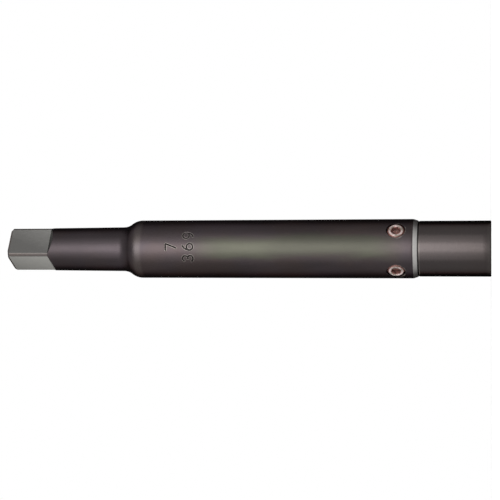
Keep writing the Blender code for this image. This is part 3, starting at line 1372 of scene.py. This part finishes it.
    def azimuths(self) -> np.ndarray:
        """Azimuths of the skin's lines, close at the square's corners and under the numerals."""
        corner = math.acos(self.drive_flat / self.shank_radius_top)
        near = np.radians([-2.4, -1.6, -1.0, -0.5, 0.0, 0.5, 1.0, 1.6, 2.4])
        reach = corner - near[-1] * 1.5
        flat = np.linspace(-reach, reach, 51)
        quarter = np.concatenate([near - corner, flat, near + corner, [math.pi / 4]])
        square = np.concatenate(
            [quarter + self.drive_turn + number * math.pi / 2 for number in range(4)]
        )
        fine = self.numerals.azimuths(self.barrel_radius)
        square = fine[0] + (square - fine[0]) % (2 * math.pi)
        gaps = np.abs(fine[:, None] - square[None, :]).min(axis=1)
        closest = 0.4 * (fine[1] - fine[0])
        return np.sort(np.concatenate([square, fine[gaps > closest]]))

    def shank_at(self, z: float) -> float:
        """Radius of the tapered shank at a height."""
        start = self.shoulder()[-1][1]
        share = min(max((z - start) / self.shank_length, 0.0), 1.0)
        return self.shank_radius_low + share * (self.shank_radius_top - self.shank_radius_low)

    def drive_radius(self, z: np.ndarray, facing: np.ndarray) -> np.ndarray:
        """Radius of the drive end, where turned and milled surfaces meet in rubbed edges.

        Args:
            z: Height of each point.
            facing: Cosine of its angle from the nearest flat's normal.

        Returns:
            The radii.
        """
        turned_radius = np.array([self.shank_at(height) for height in z])
        turned_radius = turned_radius - np.maximum(z - (self.top - self.drive_chamfer), 0)
        slope = math.tan(self.drive_runout)
        milled = (self.drive_flat + np.maximum(self.drive_root - z, 0) * slope) / facing
        overlap = np.maximum(self.edge_blend - np.abs(turned_radius - milled), 0)
        return np.minimum(turned_radius, milled) - overlap**2 / (4 * self.edge_blend)

    @staticmethod
    def ring(
        radius: np.ndarray | float, z: np.ndarray | float, sides: np.ndarray
    ) -> np.ndarray:
        """One ring of the skin.

        Args:
            radius: Radius of each point, or of all.
            z: Height of each point, or of all.
            sides: Azimuth of each point.

        Returns:
            The points.
        """
        return np.stack([radius * np.cos(sides), radius * np.sin(sides), z + 0 * sides], axis=-1)

    def socket_tool(self) -> bpy.types.Object:
        """Bore with its mouth chamfer, pilot hole and drill point."""
        point = self.pilot_radius / math.tan(self.drill_point)
        wide = self.bore_radius + self.mouth_chamfer + CUT_MARGIN
        outline = [
            (0.0, -CUT_MARGIN),
            (wide, -CUT_MARGIN),
            (self.bore_radius, self.mouth_chamfer),
            (self.bore_radius, self.bore_depth),
            (self.pilot_radius, self.bore_depth),
            (self.pilot_radius, self.pilot_depth),
            (0.0, self.pilot_depth + point),
        ]
        return add_object("socket_tool", turned("socket_tool", outline, 192))

    def square_tool(self) -> bpy.types.Object:
        """Broach for the square inside the socket."""
        corner = self.socket_corner
        lean = math.acos(self.socket_flat / corner)
        chamfer = np.linspace(lean, math.pi / 2 - lean, 7)
        angles = np.concatenate([chamfer + side * math.pi / 2 for side in range(4)])
        low, high = self.bore_depth - CUT_MARGIN, self.socket_depth
        rows = ((0.0, low), (corner, low), (corner, high), (0.0, high))
        rings = [self.ring(radius, z, angles) for radius, z in rows]
        return add_object("square_tool", ring_grid("square_tool", np.array(rings)))

    def screw_hole_tools(self, facing: Facing, thread: ShapeTree) -> list[bpy.types.Object]:
        """Tap and countersink for one screw hole.

        Args:
            facing: The hole's side.
            thread: The tree of a threaded rod.

        Returns:
            The tools.
        """
        place = facing_out(facing.azimuth, self.screw_height)
        low, high = self.pilot_radius - 1.2 * MM, self.barrel_radius + CUT_MARGIN
        tap = thread.run("tap_tool", self.tapped.sizes((low, high), (0.0, 0.0), (72, 54)))
        root = self.tapped.crest - self.tapped.depth
        foot = self.barrel_radius - (self.rim_radius - root) * self.rim_slope
        outline = [
            (0.0, foot - 0.5 * MM),
            (root - 0.02 * MM, foot),
            (self.rim_radius + CUT_MARGIN / self.rim_slope, high),
            (0.0, high),
        ]
        sink = turned("rim_tool", outline, 72)
        for tool in (tap, sink):
            tool.transform(place)
        return [add_object("tap_tool", tap), add_object("rim_tool", sink)]

    def build(self, thread: ShapeTree) -> bpy.types.Object:
        """Make the body and dress it.

        Args:
            thread: The tree of a threaded rod.

        Returns:
            The finished piece.
        """
        piece = add_object("extension_body_finished", self.outside())
        tools = [self.socket_tool(), self.square_tool()]
        for facing in Facing:
            tools += self.screw_hole_tools(facing, thread)
        cut(piece, tools)
        self.dress(piece)
        return piece

    def dress(self, piece: bpy.types.Object) -> None:
        """Give the body its finish, attach it to the extension's body and hide the node that it stands
        for.

        Args:
            piece: The body.
        """
        piece.data.materials.clear()
        piece.data.materials.append(OxideSteel().material(self))
        piece.data.shade_smooth()
        piece.data.set_sharp_from_angle(angle=self.sharp_angle)
        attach(piece, "extension")
        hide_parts("extension_body")


@dataclass
class SetScrew:
    """One cup-point set screw with a hexagon socket.

    Attributes: sizes in metres; turn is the screw's angle about its own axis, in radians.
    """

    facing: Facing
    number: int
    turn: float
    thread: ThreadForm = field(default_factory=lambda: ThreadForm(3.97 * MM, 0.57 * MM))
    length: float = 4.76 * MM
    end_chamfer: float = 0.8 * MM
    tip_chamfer: float = 0.9 * MM
    hex_flat: float = 3.97 * MM
    hex_depth: float = 2.2 * MM
    hex_mouth: float = 2.4 * MM
    cup_radius: float = 2.4 * MM

    @staticmethod
    def tree() -> ShapeTree:
        """Geometry tree of a threaded screw with its hexagon socket and cup point."""
        hollows = ("Hex Radius", "Hex Depth", "Mouth Radius", "Cup Radius")
        tree = ShapeTree("set_screw", {**ROD_INPUTS, **dict.fromkeys(hollows, 0.1)})
        low, hex_radius, hex_depth, mouth, cup = tree.given("Low", *hollows)
        sizes = {"Vertices": 6, "Radius": hex_radius, "Depth": hex_depth * 2}
        # The hexagon, the drill's point under it, its countersunk mouth and the cup point
        tools = [
            tree.wire("GeometryNodeMeshCylinder", {"fill_type": "NGON"}, sizes, "Mesh"),
            tree.cone(30, (hex_radius * 0.84, 0.0), hex_radius * 0.42, 0.02 * MM - hex_depth, True),
            tree.cone(48, (mouth - 0.5 * MM, mouth + 0.1 * MM), 0.6 * MM, -0.5 * MM),
            tree.cone(30, (cup * 1.08, 0.0), cup * 0.65, low - cup * 0.04),
        ]
        solid = tree.wire(
            "GeometryNodeMeshBoolean",
            {"operation": "DIFFERENCE", "solver": "EXACT"},
            {"Mesh 1": threaded_rod(tree), "Mesh 2": tools},
            "Mesh",
        )
        tree.end(solid)
        return tree

    def build(
        self, tree: ShapeTree, body: ExtensionBody, finish: bpy.types.Material
    ) -> bpy.types.Object:
        """Make the screw and dress it.

        Args:
            tree: The screw's geometry tree.
            body: The body that it is screwed into.
            finish: Its material.

        Returns:
            The finished piece.
        """
        ends, chamfers = (-self.length, 0.0), (self.tip_chamfer, self.end_chamfer)
        sizes = self.thread.sizes(ends, chamfers, (60, 64)) | {
            "Hex Radius": self.hex_flat / 2 / math.cos(math.pi / 6),
            "Hex Depth": self.hex_depth,
            "Mouth Radius": self.hex_mouth,
            "Cup Radius": self.cup_radius,
        }
        name = f"set_screw_{self.number}_threaded"
        mesh = tree.run(name, sizes, finish)
        spin = Matrix.Rotation(self.turn, 4, "Z")
        mesh.transform(facing_out(self.facing.azimuth, body.screw_height, body.screw_face) @ spin)
        piece = add_object(name, mesh)
        self.dress(piece)
        return piece

    def dress(self, piece: bpy.types.Object) -> None:
        """Attach the screw to its body and hide the node that it stands for.

        Args:
            piece: The screw, which has its material from its tree.
        """
        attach(piece, f"screw_{self.number}")
        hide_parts(f"set_screw_{self.number}")


def thread_tree() -> ShapeTree:
    """Geometry tree of a plain threaded rod."""
    tree = ShapeTree("threaded_rod", ROD_INPUTS)
    tree.end(threaded_rod(tree))
    return tree


@dataclass(frozen=True)
class SoftBox:
    """Upright soft box on the floor, which faces the part's axis.

    Attributes:
        name: Its name.
        turn: Its direction from the camera's, in degrees, upwards in the picture.
        width: Its width.
        level: Brightness of its face, where 1 is white.
        back: How far it stands behind the circle of the others.
        height: Its height.
        distance: The circle's radius.
    """

    name: str
    turn: float
    width: float
    level: float
    back: float = 0.0
    height: float = 0.62
    distance: float = 0.8

    def build(self, front: float) -> None:
        """Place the lamp.

        Args:
            front: The camera's azimuth.
        """
        light = bpy.data.lights.new(self.name, "AREA")
        light.shape = "RECTANGLE"
        light.size, light.size_y = self.width, self.height
        light.energy = self.level * math.pi * self.width * self.height
        holder = bpy.data.objects.new(self.name, light)
        bpy.context.scene.collection.objects.link(holder)
        azimuth = front + math.radians(self.turn)
        away = Vector((math.cos(azimuth), math.sin(azimuth), 0))
        aside = Vector((-math.sin(azimuth), math.cos(azimuth), 0))
        axes = Matrix((aside, Vector((0, 0, 1)), away)).transposed().to_4x4()
        place = away * (self.distance + self.back) + Vector((0, 0, self.height / 2))
        holder.matrix_world = Matrix.Translation(place) @ axes
        holder.visible_camera = False


@dataclass
class Studio:
    """Pale floor, white surroundings, soft lamps and the photograph's camera.

    Attributes: lengths in metres, angles in radians. The camera's azimuth is its direction from
        the part's axis; yaw is how far its axis leans from level, towards the drive end. The
        first three lamps stand behind each other, so that the front light is brightest in its
        middle.
    """

    azimuth: float = math.radians(-39.0)
    aim_height: float = 110.3 * MM
    distance: float = 607.8 * MM
    yaw: float = math.radians(10.4)
    drop: float = 0.475 * MM
    roll: float = 0.0015
    focal_pixels: float = 1308.0
    picture_pixels: float = 500.0
    sensor: float = 36.0
    white: Colour = (1.0, 1.0, 1.0)
    floor_half: float = 3.0
    lamps: tuple[SoftBox, ...] = (
        SoftBox("core", 5.0, 0.52, 3.8),
        SoftBox("glow", 5.0, 1.10, 1.0, 0.02),
        SoftBox("spread", 5.0, 2.1, 1.5, 0.04),
        SoftBox("back_left", 130.0, 0.3, 2.0),
        SoftBox("back_right", -125.0, 0.3, 2.5),
    )

    def camera(self) -> None:
        """Place the camera on its side, so that the standing part lies across the picture."""
        out = Vector((math.cos(self.azimuth), math.sin(self.azimuth), 0))
        up = Vector((-math.sin(self.azimuth), math.cos(self.azimuth), 0))
        back = out * math.cos(self.yaw) - Vector((0, 0, 1)) * math.sin(self.yaw)
        right = -Vector((0, 0, 1)) * math.cos(self.yaw) - out * math.sin(self.yaw)
        place = Vector((0, 0, self.aim_height)) + back * self.distance - up * self.drop
        cosine, sine = math.cos(self.roll), math.sin(self.roll)
        right, up = right * cosine - up * sine, up * cosine + right * sine
        lens = bpy.data.cameras.new("photo_camera")
        lens.sensor_fit = "HORIZONTAL"
        lens.sensor_width = self.sensor
        lens.lens = self.sensor * self.focal_pixels / self.picture_pixels
        lens.clip_start = 10 * MM
        eye = bpy.data.objects.new("photo_camera", lens)
        bpy.context.scene.collection.objects.link(eye)
        eye.matrix_world = Matrix.Translation(place) @ Matrix((right, up, back)).transposed().to_4x4()
        bpy.context.scene.camera = eye

    def room(self) -> None:
        """White surroundings all round."""
        world = bpy.data.worlds.new("white_room")
        bpy.context.scene.world = world
        world.use_nodes = True
        graph = Graph(world.node_tree)
        shade = graph.wire("ShaderNodeBackground", None, {"Color": (*self.white, 1.0), "Strength": 1.0})
        graph.node("ShaderNodeOutputWorld", None, {"Surface": shade})

    def floor(self) -> None:
        """Plain pale floor."""
        half = self.floor_half
        corners = [(-half, -half, 0), (half, -half, 0), (half, half, 0), (-half, half, 0)]
        mesh = bpy.data.meshes.new("floor")
        mesh.from_pydata(corners, [], [(0, 1, 2, 3)])
        ground = add_object("floor", mesh)
        mesh.materials.append(FloorPaint().material())

    def build(self) -> None:
        """Make the whole studio."""
        self.camera()
        self.room()
        self.floor()
        for lamp in self.lamps:
            lamp.build(self.azimuth)


def main() -> None:
    """Build every piece in order."""
    logging.basicConfig(level=logging.INFO)
    bpy.context.scene.view_settings.view_transform = "Standard"
    Studio().build()
    body = ExtensionBody()
    pieces = [body.build(thread_tree())]
    finish, tree = ScrewSteel().material(body), SetScrew.tree()
    for number, (facing, turn) in enumerate(zip(Facing, SCREW_TURNS), start=1):
        pieces.append(SetScrew(facing, number, turn).build(tree, body, finish))
    for piece in pieces:
        LOG.info("%s: %d faces", piece.name, len(piece.data.polygons))


if __name__ == "__main__":
    main()
